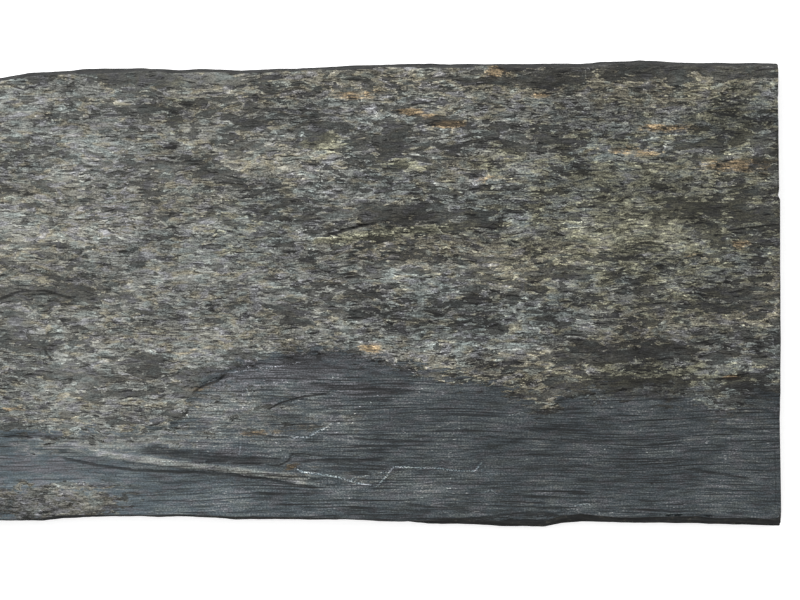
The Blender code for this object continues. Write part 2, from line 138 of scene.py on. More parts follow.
# Lines: half width in millimetres, strength and the points of each.
LINES = {
    # Grooves are drawn as dark lines: painted shade in cracks, under ledges and along the front and
    # right edges.
    "groove": [
        (3.2, 0.46, [(-179, -154), (-155, -156), (-130, -160), (-101, -162), (-72, -164),
            (-37, -164)]),
        (0.8, 0.80, [(-128, -166), (-101, -165), (-75, -167), (-42, -169), (-34, -164), (-30, -158),
            (-15, -157)]),
        (1.3, 0.62, [(-258, -161), (-219, -169), (-179, -174), (-140, -175), (-101, -177),
            (-62, -181), (-38, -186), (-5, -191)]),
        (1.0, 0.95, [(-128, -98), (-122, -93), (-103, -86), (-95, -78)]),
        (0.8, 0.95, [(-54, -113), (-42, -108), (-30, -104), (-19, -101), (7, -98)]),
        (1.5, 0.60, [(-23, -165), (5, -164), (44, -164), (64, -162)]),
        (1.2, 0.50, [(26, -142), (66, -145), (111, -146)]),
        (1.8, 0.45, [(-15, -88), (22, -93), (56, -95), (93, -96)]),
        (0.9, 0.55, [(-81, -135), (-52, -140), (-28, -142)]),
        (1.2, 0.95, [(382, -84), (399, -84), (419, -81)]),
        (0.8, 0.80, [(148, 66), (164, 64), (178, 61)]),
        (1.0, 0.80, [(77, 183), (95, 186), (107, 187)]),
        (0.7, 0.70, [(155, 101), (178, 100)]),
        (0.7, 0.80, [(391, 61), (414, 64), (451, 68)]),
        (2.2, 0.40, [(271, -99), (311, -100), (354, -105)]),
        (1.5, 0.38, [(228, -144), (257, -145), (285, -145)]),
        (1.2, 0.45, [(355, -172), (384, -176), (420, -182)]),
        (1.0, 0.45, [(244, -184), (271, -185), (301, -185)]),
        (1.3, 0.95, [(-1, 56), (22, 62), (52, 69)]),
        (1.1, 0.55, [(-320, -7), (-297, 2), (-272, 3), (-242, -7)]),
        (1.5, 0.60, [(-219, -50), (-207, -42)]),
        (1.2, 0.65, [(-273, -52), (-270, -60), (-263, -68)]),
        (1.0, 0.85, [(-315, -141), (-302, -140), (-287, -141)]),
        (2.0, 0.55, [(-244, -106), (-232, -107)]),
        (0.7, 0.60, [(-111, -173), (-105, -171)]),
        (1.1, 0.60, [(-170, -150), (-156, -149)]),
        (1.0, 0.55, [(79, -207), (115, -210), (144, -211)]),
        (2.4, 0.95, [(113, -227), (139, -226), (173, -225), (203, -225), (232, -225)]),
        (0.9, 0.55, [(121, -223), (144, -221), (173, -218), (193, -216), (218, -216), (232, -218)]),
        (0.9, 0.50, [(238, -223), (311, -223), (369, -224), (420, -225), (451, -226)]),
        (1.2, 0.50, [(451, 209), (452, 92), (452, -36), (452, -144), (453, -222)]),
    ],
    "thread": [
        (0.9, 1.00, [(-34, -169), (-19, -175), (1, -178), (17, -181), (36, -187), (54, -189),
            (63, -178), (69, -170), (95, -171), (115, -172), (134, -174), (150, -174), (154, -168),
            (158, -164)]),
        (0.5, 0.70, [(17, -181), (36, -180), (56, -176), (69, -170)]),
        (0.8, 0.60, [(-93, -78), (-76, -76), (-47, -72), (-15, -66)]),
        (0.8, 0.55, [(-77, -88), (-70, -107)]),
        (0.9, 0.80, [(13, -125), (2, -132), (-15, -141), (-34, -142)]),
        (0.4, 1.00, [(-131, -112), (-138, -129)]),
        (1.0, 0.80, [(-80, -147), (-83, -160)]),
        (0.5, 0.65, [(136, -129), (131, -138)]),
        (0.4, 0.45, [(397, -160), (411, -153), (420, -158), (426, -165), (418, -168)]),
        (0.4, 0.50, [(340, -165), (354, -164)]),
        (0.6, 0.70, [(240, -210), (250, -208), (264, -206)]),
        (0.8, 0.90, [(135, -222), (152, -221)]),
        (0.4, 0.60, [(177, -121), (185, -119), (203, -115)]),
        (0.6, 0.60, [(-162, -165), (-140, -165)]),
        (0.6, 0.70, [(-197, -77), (-181, -83)]),
        (0.5, 0.50, [(260, -155), (271, -158)]),
        (0.6, 0.55, [(154, -196), (166, -193), (173, -200)]),
        (0.5, 0.60, [(-258, -42), (-265, -47)]),
        (0.6, 0.80, [(391, -81), (402, -79), (412, -79)]),
        (0.6, 0.65, [(183, 210), (203, 216), (221, 218), (238, 215), (256, 221)]),
        (0.6, 0.90, [(257, 223), (258, 210)]),
        (1.4, 0.80, [(-172, -57), (-163, -55)]),
        (0.8, 0.60, [(-220, -3), (-212, 1)]),
        (1.2, 0.90, [(-34, 206), (-32, 201)]),
        (0.5, 0.60, [(436, -227), (444, -221), (451, -215)]),
    ],
    "rib": [
        (1.6, 0.22, [(-299, -141), (-268, -145), (-236, -149)]),
        (4.2, 0.50, [(-226, -156), (-199, -160), (-170, -164), (-140, -168), (-111, -171),
            (-76, -175), (-42, -179), (-11, -186)]),
        (2.2, 0.30, [(-36, 54), (7, 54), (38, 57), (75, 61), (107, 66)]),
        (2.0, 0.18, [(-34, -115), (-15, -119), (9, -121), (13, -125)]),
    ],
}

# Stained, bleached and bare places: x, y, half length, half width, turn in degrees and strength.
PLACES = {
    "rust": [
        (30, 195, 22, 5, 0, 1.1), (90, 177, 16, 4, -8, 1.4), (122, 166, 14, 4, 0, 1.6),
        (170, 219, 9, 6, 0, 1.4), (213, 194, 12, 4, 0, 1.0), (334, 162, 27, 5, 0, 1.0),
        (305, 139, 43, 5, 0, 0.9), (407, 125, 39, 6, 0, 1.1), (399, -82, 7, 2, 0, 1.4),
        (410, 48, 15, 4, 0, 0.9), (-303, -114, 18, 4, 0, 0.7), (-271, -124, 14, 3, 0, 0.5),
        (-130, -57, 10, 4, 0, 0.6), (-60, -136, 41, 3, 5, 0.9), (-116, -91, 14, 4, 18, 0.8),
        (-30, -170, 9, 3, 15, 1.1), (-23, -177, 18, 3, 18, 0.5), (44, -54, 10, 4, 0, 1.3),
        (160, 111, 18, 5, 0, 0.8), (369, 35, 29, 5, 0, 0.6), (173, 131, 14, 5, 0, 0.6),
    ],
    "olive": [
        (330, 77, 147, 88, 0, 0.8), (70, 60, 59, 4, 6, 1.5), (2, 147, 17, 8, 0, 1.2),
        (75, 126, 22, 6, 0, 1.0), (400, 160, 59, 49, 0, 0.7), (173, 131, 25, 14, 0, 0.7),
        (330, -80, 88, 12, 0, 0.9), (-144, 190, 12, 49, 0, 0.5), (-86, 67, 39, 29, 0, 0.5),
    ],
    "pale": [
        (-23, 115, 29, 14, 0, 1.0), (-177, -104, 29, 20, 0, 1.1), (-289, -67, 27, 18, 0, 0.8),
        (311, 28, 29, 12, 0, 0.8), (144, 146, 25, 12, 0, 0.7), (93, 204, 25, 12, 0, 0.7),
        (-205, 77, 25, 39, 0, 0.7), (-219, -55, 108, 39, 0, 0.5), (-272, 77, 39, 29, 0, 0.4),
        (-33, 204, 7, 5, 0, 1.0), (218, -108, 13, 9, 0, 0.3), (170, 218, 9, 6, 0, 0.9),
        (164, 113, 14, 8, 0, 0.6), (165, -177, 5, 2, 0, 1.6), (-169, -57, 7, 4, 0, 1.5),
        (-216, -1, 8, 6, 0, 1.0), (369, 190, 39, 20, 0, 0.4), (115, -65, 69, 16, 0, 0.4),
        (395, -99, 16, 10, 0, 0.5), (-170, -124, 59, 12, 0, 0.3), (213, -60, 24, 8, 0, 0.6),
    ],
    "violet": [
        (-268, -207, 59, 13, 0, 0.5), (-27, -75, 73, 12, 4, 1.0), (-205, 92, 25, 44, 0, 0.5),
        (-277, -168, 59, 12, -6, 0.7), (-91, -156, 14, 5, 0, 1.0), (218, -108, 12, 8, 0, 0.3),
        (36, -93, 49, 8, 0, 0.9),
    ],
    "bare": [
        (122, 167, 12, 4, 0, 0.8), (-238, -80, 20, 6, 0, 1.1), (-170, -69, 13, 8, 0, 1.1),
        (-114, -81, 24, 8, -8, 1.2), (-207, -98, 24, 4, 0, 1.0), (260, -61, 21, 7, 0, 1.2),
        (320, -57, 24, 5, 0, 1.1), (360, 218, 82, 8, 0, 1.1), (-135, 213, 63, 7, 0, 1.0),
        (213, 210, 20, 8, 0, 1.1), (54, 75, 22, 6, -6, 1.3), (95, 79, 24, 5, 0, 0.9),
        (-277, 0, 35, 7, 0, 0.9), (330, -90, 69, 8, 0, 1.0), (-277, -55, 10, 10, 0, 0.5),
        (384, 57, 54, 11, 0, 0.6), (418, -1, 25, 12, 0, 0.5), (-72, -55, 25, 7, 0, 0.5),
        (-287, -144, 25, 4, 0, 0.8),
    ],
    "crusted": [
        (-268, -205, 53, 14, 0, 1.1), (391, -104, 22, 10, 0, 1.0), (218, -106, 11, 10, 0, 1.0),
        (-160, -132, 29, 8, 0, 0.7), (-99, -112, 45, 29, 0, 0.4), (-32, -129, 59, 13, 0, 0.3),
        (281, -97, 59, 9, 0, 0.4), (360, -104, 59, 9, 0, 0.4), (-199, -148, 59, 8, 2, 0.3),
    ],
    "dusty": [
        (-86, -116, 73, 25, 0, 0.7), (-199, -144, 108, 10, 2, 0.8), (7, -122, 39, 10, 0, 0.6),
        (-170, -183, 59, 6, 0, 0.2), (330, -93, 108, 9, 0, 0.8), (46, -181, 49, 7, 4, 0.5),
        (173, -207, 59, 10, 0, 0.3), (218, -108, 14, 10, 0, 0.9), (404, -119, 39, 14, 0, 0.5),
        (-248, -197, 69, 12, 0, 0.5), (-96, -97, 25, 14, 0, 0.6),
    ],
}

# A listed line ends softly over this length in millimetres, and is felt this many half
# widths away.
LINE_END = 8.0
LINE_REACH = 6.0

# The noises of the pattern: length and width (and height) of the lumps in millimetres, detail,
# roughness, and a shift so that no two start alike.
NOISES = {
    "sway": ((60.0, 28.0), 2.0, 0.55, (3.1, 7.7)),
    "band": ((190.0, 34.0), 2.0, 0.5, (2.0, 8.0)),
    "cloud": ((70.0, 40.0), 2.0, 0.55, (14.0, 3.0)),
    "bend": ((180.0, 60.0), 1.0, 0.5, (6.0, 6.0)),
    "torn": ((9.0, 3.2), 2.0, 0.55, (11.3, 2.9)),
    "tear": ((20.0, 6.4), 4.0, 0.64, (5.0, 1.0)),
    "crumbs": ((7.0, 4.0), 2.0, 0.6, (4.0, 9.0)),
    "fibre": ((8.0, 1.6), 3.0, 0.66, (2.0, 6.0)),
    "grain": ((1.7, 1.1), 1.0, 0.6, (8.0, 1.0)),
    "broken": ((20.0, 2.1), 2.0, 0.5, (31.0, 14.0)),
    "hue": ((22.0, 8.0), 2.0, 0.5, (12.0, 7.0)),
    "second hue": ((18.0, 8.0), 2.0, 0.5, (3.0, 27.0)),
    "fine": ((22.0, 1.5), 2.0, 0.62, (1.0, 3.0)),
    "long": ((120.0, 3.9), 3.0, 0.62, (7.0, 5.0)),
    "slit": ((92.0, 1.5), 1.0, 0.5, (23.0, 51.0)),
    "fleck": ((5.5, 1.6), 1.0, 0.5, (41.0, 19.0)),
    "fray": ((16.0, 16.0, 1.3), 3.0, 0.6, (1.0, 1.0, 1.0)),
    "fray chips": ((9.0, 9.0, 4.0), 2.0, 0.5, (7.0, 3.0, 1.0)),
    "bedding": ((30.0, 30.0, 0.9), 4.0, 0.65, (1.0, 1.0, 1.0)),
    "side chips": ((7.0, 7.0, 3.0), 3.0, 0.6, (5.0, 2.0, 4.0)),
    "back torn": ((14.0, 5.0), 2.0, 0.55, (2.3, 5.9)),
    "back lines": ((48.0, 2.2), 3.0, 0.60, (17.0, 3.0)),
    "back cloud": ((90.0, 45.0), 3.0, 0.6, (4.0, 9.0)),
    "back sheet": ((75.0, 19.0), 4.0, 0.58, (9.0, 33.0)),
    "back grain": ((2.4, 1.6), 2.0, 0.6, (1.0, 12.0)),
}

# Brightness is kept as the natural logarithm of what the eye sees. The exposure is how much light
# the stage throws on the stone. A level is where a finish starts, a middle is what its contrast is
# stretched about, and what stands over a knee is held back.
EXPOSURE = 1.35
EYE_POWER = 2.2
ROUGH_LEVEL = -0.80
ROUGH_KNEE = -0.78
ROUGH_MIDDLE = -0.93
FRONT_LEVEL = -1.29
FRONT_KNEE = -1.30
FRONT_MIDDLE = -1.32
# The sides are much darker than the face: partly the stone's own colour, partly painted shade for
# the steep sides that stand in shadow.
SIDE_LEVEL = -1.75
BACK_LEVEL = -1.16

# Shares of red, green and blue between which the sides and the underside change.
TWIN_HUES = {
    "side": ((0.95, 1.01, 1.02), (1.05, 1.01, 0.86)),
    "back": ((0.92, 1.01, 1.04), (1.03, 1.01, 0.88)),
}

# How each kind of listed line shows: how much it wobbles, where it is full and where it ends
# in half widths, its brightness and its height in millimetres.
LINE_LOOKS = {
    # The groove brightness is painted shade; threads and ribs are made paler.
    "groove": (0.8, 0.5, 1.5, -0.95, -0.9),
    "thread": (0.8, 0.5, 1.5, 0.70, 0.5),
    "rib": (0.35, 0.45, 1.2, 0.9, 1.8),
}


def settings():
    return bpy.context.scene.riven_slate


def drop_object(name):
    """Clears away an earlier build of a piece, so that an operator can be run again."""
    piece = bpy.data.objects.get(name)
    if piece is not None:
        bpy.data.objects.remove(piece, do_unlink=True)


def link_piece(name, data):
    drop_object(name)
    piece = bpy.data.objects.new(name, data)
    bpy.context.scene.collection.objects.link(piece)
    return piece


# ---- The shape of the stone ----------------------------------------------------------------------


class Shell:
    """Gathers the points and faces of the stone, with the kind of each face."""

    def __init__(self):
        self.points = []
        self.faces = []
        self.kinds = []

    def point(self, x, y, z):
        self.points.append((x, y, z))
        return len(self.points) - 1

    def face(self, kind, *corners):
        self.faces.append(corners)
        self.kinds.append(kind)


def stone_tree():
    """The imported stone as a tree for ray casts, with the loose triangles of a copy welded."""
    mesh = bmesh.new()
    mesh.from_mesh(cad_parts[NODE].data)
    bmesh.ops.remove_doubles(mesh, verts=mesh.verts, dist=1e-6)
    tree = BVHTree.FromBMesh(mesh)
    mesh.free()
    return tree


def loop_cells(columns, rows):
    """The (row, column) of each place on a grid's rim, counterclockwise from the front left."""
    cells = [(0, column) for column in range(columns)]
    cells += [(row, columns) for row in range(rows)]
    cells += [(rows, column) for column in range(columns, 0, -1)]
    cells += [(row, 0) for row in range(rows, 0, -1)]
    return cells


def rectangle_targets():
    """Points round the nominal outline, one for each place on the rim of the face grid."""
    low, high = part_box(NODE)
    targets = []
    for row, column in loop_cells(FACE_COLUMNS, FACE_ROWS):
        share_x = column / FACE_COLUMNS
        share_y = row / FACE_ROWS
        targets.append((low.x + (high.x - low.x) * share_x, low.y + (high.y - low.y) * share_y))
    return targets


def spine_ray(target):
    """Start on the spine of the slab and the unit direction from there through a target."""
    start = Vector((max(-SPINE_REACH, min(SPINE_REACH, target[0])), 0.0))
    return start, (Vector(target) - start).normalized()


def pulled_in(place, target, distance):
    """A place in plan moved towards the spine, along the ray of its target."""
    direction = spine_ray(target)[1]
    return place[0] - direction.x * distance, place[1] - direction.y * distance


def side_point(tree, target, height, fallback):
    """Where the outermost stone lies at one height, seen along the ray of a target."""
    start, direction = spine_ray(target)
    outside = start + direction * RAY_LENGTH
    hit = tree.ray_cast(
        Vector((outside.x, outside.y, height)), Vector((-direction.x, -direction.y, 0.0)),
        RAY_LENGTH)
    return fallback if hit[0] is None else (hit[0].x, hit[0].y)


def face_height(tree, x, y):
    hit = tree.ray_cast(Vector((x, y, CAST_FROM)), Vector((0.0, 0.0, -1.0)), 1.0)
    return USUAL_TOP if hit[0] is None else hit[0].z


def back_height(tree, x, y):
    """Height of the underside round a place, so that its spalls have soft rims."""
    total = 0.0
    for step_x, step_y in BACK_SAMPLES:
        start = Vector((x + step_x, y + step_y, -CAST_FROM))
        hit = tree.ray_cast(start, Vector((0.0, 0.0, 1.0)), 1.0)
        if hit[0] is not None and hit[0].z < DEEPEST_SPALL:
            total += hit[0].z
    return total / len(BACK_SAMPLES)


def wandering(x, y):
    """A place shifted a little, so that the steps of the face break up as stone does."""
    broad = Vector((x * BROAD_WAVES[0], y * BROAD_WAVES[1], 3.1))
    fine = Vector((x * FINE_WAVES[0], y * FINE_WAVES[1], 8.7))
    shift_x = noise.noise(broad) + 0.5 * noise.noise(fine)
    broad += Vector((17.0, 5.0, 2.0))
    fine += Vector((4.0, 31.0, 6.0))
    shift_y = noise.noise(broad) + 0.6 * noise.noise(fine)
    return x + shift_x * FACE_WANDER[0], y + shift_y * FACE_WANDER[1]


def worn_height(tree, x, y):
    """Height of the riven face round a place, as the mean of close samples."""
    x, y = wandering(x, y)
    total = 0.0
    for step_x, step_y in FACE_SAMPLES:
        total += face_height(tree, x + step_x, y + step_y)
    return total / len(FACE_SAMPLES)


def relaxed(plan):
    """The same grid with its inner places evened out, so that no cell folds over near the rims."""
    for _ in range(RELAX_ROUNDS):
        inner = plan[:-2, 1:-1] + plan[2:, 1:-1] + plan[1:-1, :-2] + plan[1:-1, 2:]
        plan[1:-1, 1:-1] = inner / 4.0
    return plan


def coons_patch(loop):
    """Plan positions of the whole face grid, spun between its four rims."""
    side_end = FACE_COLUMNS + FACE_ROWS
    front = np.array(loop[:FACE_COLUMNS + 1])
    right = np.array(loop[FACE_COLUMNS:side_end + 1])
    back = np.array(loop[side_end:side_end + FACE_COLUMNS + 1])[::-1]
    left = np.array(loop[side_end + FACE_COLUMNS:] + [loop[0]])[::-1]
    u = np.linspace(0.0, 1.0, FACE_COLUMNS + 1)[None, :, None]
    v = np.linspace(0.0, 1.0, FACE_ROWS + 1)[:, None, None]
    across = (1.0 - v) * front[None, :, :] + v * back[None, :, :]
    along = (1.0 - u) * left[:, None, :] + u * right[:, None, :]
    corners = (
        (1.0 - u) * (1.0 - v) * front[0] + u * (1.0 - v) * front[-1]
        + (1.0 - u) * v * back[0] + u * v * back[-1])
    return relaxed(across + along - corners)


def add_sides(tree, shell):
    """The rings of the split sides, the plan of the rim above them and the height of the rim."""
    targets = rectangle_targets()
    rings = []
    for height in SIDE_RINGS:
        cast_height = max(height, LOWEST_CAST)
        rings.append([
            shell.point(*side_point(tree, target, cast_height, target), height)
            for target in targets])
    lip = [shell.points[index][:2] for index in rings[-1]]
    tops = [
        face_height(tree, *pulled_in(place, target, RIM_INSET))
        for place, target in zip(lip, targets)]
    soft_tops = []
    for number in range(len(tops)):
        near = [tops[(number + step) % len(tops)] for step in (-2, -1, 0, 1, 2)]
        soft_tops.append(sum(near) / len(near))
    for share in UPPER_RING_SHARES:
        ring = []
        for target, place, top in zip(targets, lip, soft_tops):
            height = SIDE_RINGS[-1] + (top - SIDE_RINGS[-1]) * share
            ring.append(shell.point(*side_point(tree, target, height, place), height))
        rings.append(ring)
    rim = []
    for target, place, top, soft_top in zip(targets, lip, tops, soft_tops):
        cast_height = min(soft_top - RIM_DROP, top - LOWEST_CAST)
        rim.append(pulled_in(side_point(tree, target, cast_height, place), target, RIM_STEP))
    return rings, rim, [top - RIM_DROP for top in soft_tops]


def add_face(tree, shell, rim, rim_heights):
    """The riven face as a grid, and the indices of its rim."""
    plan = coons_patch(rim)
    cells = loop_cells(FACE_COLUMNS, FACE_ROWS)
    known = dict(zip(cells, rim_heights))
    grid = {}
    for row, column in np.ndindex(FACE_ROWS + 1, FACE_COLUMNS + 1):
        x, y = plan[row, column].tolist()
        height = known[row, column] if (row, column) in known else worn_height(tree, x, y)
        grid[row, column] = shell.point(x, y, height)
    for row, column in np.ndindex(FACE_ROWS, FACE_COLUMNS):
        shell.face(
            RIVEN, grid[row, column], grid[row, column + 1], grid[row + 1, column + 1],
            grid[row + 1, column])
    return [grid[cell] for cell in cells]


def add_underside(tree, shell, ring):
    """A coarser grid under the stone, sewn to the lowest ring of the sides."""
    columns = FACE_COLUMNS // BACK_STRIDE_X
    rows = FACE_ROWS // BACK_STRIDE_Y
    cells = loop_cells(FACE_COLUMNS, FACE_ROWS)
    corner_of = dict(zip(cells, ring))
    places = list(np.ndindex(rows + 1, columns + 1))
    grid = {}
    for row, column in places:
        index = corner_of.get((row * BACK_STRIDE_Y, column * BACK_STRIDE_X))
        if index is not None:
            place = shell.points[index][:2]
            grid[row, column] = shell.point(*pulled_in(place, place, BACK_INSET), 0.0)
    for row, column in places:
        if (row, column) not in grid:
            front = shell.points[grid[0, column]]
            back = shell.points[grid[rows, column]]
            share = row / rows
            x = front[0] * (1 - share) + back[0] * share
            y = front[1] * (1 - share) + back[1] * share
            grid[row, column] = shell.point(x, y, back_height(tree, x, y))
    for row, column in np.ndindex(rows, columns):
        shell.face(
            BACK, grid[row, column], grid[row + 1, column], grid[row + 1, column + 1],
            grid[row, column + 1])
    edge = loop_cells(columns, rows)
    for cell, after in zip(edge, edge[1:] + edge[:1]):
        first = cells.index((cell[0] * BACK_STRIDE_Y, cell[1] * BACK_STRIDE_X))
        last = cells.index((after[0] * BACK_STRIDE_Y, after[1] * BACK_STRIDE_X))
        if last <= first:
            last += len(cells)
        middle = (first + last) // 2
        for step in range(first, last):
            anchor = grid[cell] if step < middle else grid[after]
            shell.face(BACK, ring[(step + 1) % len(cells)], ring[step % len(cells)], anchor)
        shell.face(BACK, grid[cell], grid[after], ring[middle % len(cells)])


def build_slab_mesh():
    """The whole stone as one closed mesh, with the kind of each face as an attribute."""
    tree = stone_tree()
    shell = Shell()
    rings, rim, rim_heights = add_sides(tree, shell)
    rings.append(add_face(tree, shell, rim, rim_heights))
    for lower, upper in zip(rings, rings[1:]):
        for number, corner in enumerate(lower):
            after = (number + 1) % len(lower)
            shell.face(SIDE, corner, lower[after], upper[after], upper[number])
    add_underside(tree, shell, rings[0])
    mesh = bpy.data.meshes.new("riven_slab")
    mesh.from_pydata(shell.points, [], shell.faces)
    mesh.update()
    kind = mesh.attributes.new("kind", "INT", "FACE")
    kind.data.foreach_set("value", shell.kinds)
    return mesh


# ---- Places on the stone, kept as attributes -----------------------------------------------------


def store(mesh, name, values):
    attribute = mesh.attributes.get(name) or mesh.attributes.new(name, "FLOAT", "POINT")
    attribute.data.foreach_set("value", np.asarray(values, np.float32))


def mesh_places(mesh):
    places = np.zeros(len(mesh.vertices) * 3, np.float64)
    mesh.vertices.foreach_get("co", places)
    return places.reshape(-1, 3)


def face_kinds(mesh):
    kinds = np.zeros(len(mesh.polygons), np.int32)
    mesh.attributes["kind"].data.foreach_get("value", kinds)
    return kinds


def line_distance(places, lines):
    """Distance to the nearest line in its half widths (over it is positive), and its strength."""
    best = np.full(len(places), LINE_REACH)
    side = np.full(len(places), LINE_REACH)
    power = np.zeros(len(places))
    for half_width, strength, line in lines:
        points = np.array(line, float)
        steps = np.diff(points, axis=0)
        lengths = np.hypot(steps[:, 0], steps[:, 1])
        starts = np.concatenate([[0.0], np.cumsum(lengths)])
        for start, point, step, length in zip(starts, points, steps, lengths):
            relative = places - point
            along = np.clip((relative @ step) / length ** 2, 0.0, 1.0)
            gap = relative - along[:, None] * step
            distance = np.hypot(gap[:, 0], gap[:, 1]) / half_width
            heading = step if step[0] > 0.0 else -step
            above = heading[0] * relative[:, 1] - heading[1] * relative[:, 0] >= 0.0
            travelled = start + along * length
            end_gap = np.minimum(travelled, starts[-1] - travelled)
            fade = strength * np.clip(end_gap / LINE_END + 0.15, 0.0, 1.0)
            nearer = distance < best
            best = np.where(nearer, distance, best)
            side = np.where(nearer, np.where(above, distance, -distance), side)
            power = np.where(nearer, fade, power)
    return side, power


def patch_strength(places, patches):
    total = np.zeros(len(places))
    for x, y, half_length, half_width, turn, strength in patches:
        angle = math.radians(turn)
        offset_x = places[:, 0] - x
        offset_y = places[:, 1] - y
        along = (offset_x * math.cos(angle) + offset_y * math.sin(angle)) / half_length
        across = (-offset_x * math.sin(angle) + offset_y * math.cos(angle)) / half_width
        total = np.maximum(total, strength * np.exp(-0.5 * (along ** 2 + across ** 2)))
    return total


def store_places(mesh):
    """Writes where the crust, ribs, cracks and stains lie onto a piece's points."""
    places = mesh_places(mesh)[:, :2] / MM
    border = np.array(CRUST_LINE, float)
    store(mesh, "crust_side", places[:, 1] - np.interp(places[:, 0], border[:, 0], border[:, 1]))
    for name, lines in LINES.items():
        side, power = line_distance(places, lines)
        store(mesh, name + "_side", side)
        store(mesh, name + "_power", power)
    for name, patches in PLACES.items():
        store(mesh, name, patch_strength(places, patches))


def store_shares(mesh):
    """How far each point may be lifted on the face, or frayed on the sides."""
    places = mesh_places(mesh)
    up = np.zeros(len(places))
    side = np.zeros(len(places))
    for polygon, kind in zip(mesh.polygons, face_kinds(mesh)):
        if kind != BACK:
            shares = up if kind == RIVEN else side
            shares[list(polygon.vertices)] = 1.0
    both = (up > 0.0) & (side > 0.0)
    up[both] = SHARED_EDGE
    side[both] = SHARED_EDGE
    side[places[:, 2] < GROUND_HEIGHT] = GROUND_FRAY
    side *= np.clip((SAWN_FROM - places[:, 0]) / SAWN_FADE, SAWN_FRAY, 1.0)
    store(mesh, "up_share", up)
    store(mesh, "side_share", side)


def add_bake_map(mesh):
    """Lays the face, underside and the four sides out in bands of one map."""
    layer = mesh.uv_layers.new(name="OFBake")
    places = mesh_places(mesh)
    points = np.zeros((len(mesh.loops), 2), np.float32)
    low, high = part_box(NODE)
    for polygon, kind in zip(mesh.polygons, face_kinds(mesh)):
        normal = polygon.normal
        for loop in polygon.loop_indices:
            x, y, z = places[mesh.loops[loop].vertex_index]
            along = (x - low.x + MAP_MARGIN) / (high.x - low.x + 2.0 * MAP_MARGIN)
            across = (y - low.y + MAP_MARGIN) / (high.y - low.y + 2.0 * MAP_MARGIN)
            rise = (z + 0.001) / MAP_HEIGHT * SIDE_BAND
            if kind == RIVEN:
                points[loop] = (along, FACE_BAND[0] + across * FACE_BAND[1])
            elif kind == BACK:
                points[loop] = (along, BACK_BAND[0] + across * BACK_BAND[1])
            elif abs(normal.y) > abs(normal.x):
                points[loop] = (along, (FRONT_START if normal.y < 0 else REAR_START) + rise)
            else:
                start = 0.0 if normal.x < 0 else RIGHT_END_START
                points[loop] = (start + across * END_WIDTH, ENDS_START + rise)
    layer.data.foreach_set("uv", points.ravel())


# ---- Nodes that a material and geometry nodes share ----------------------------------------------


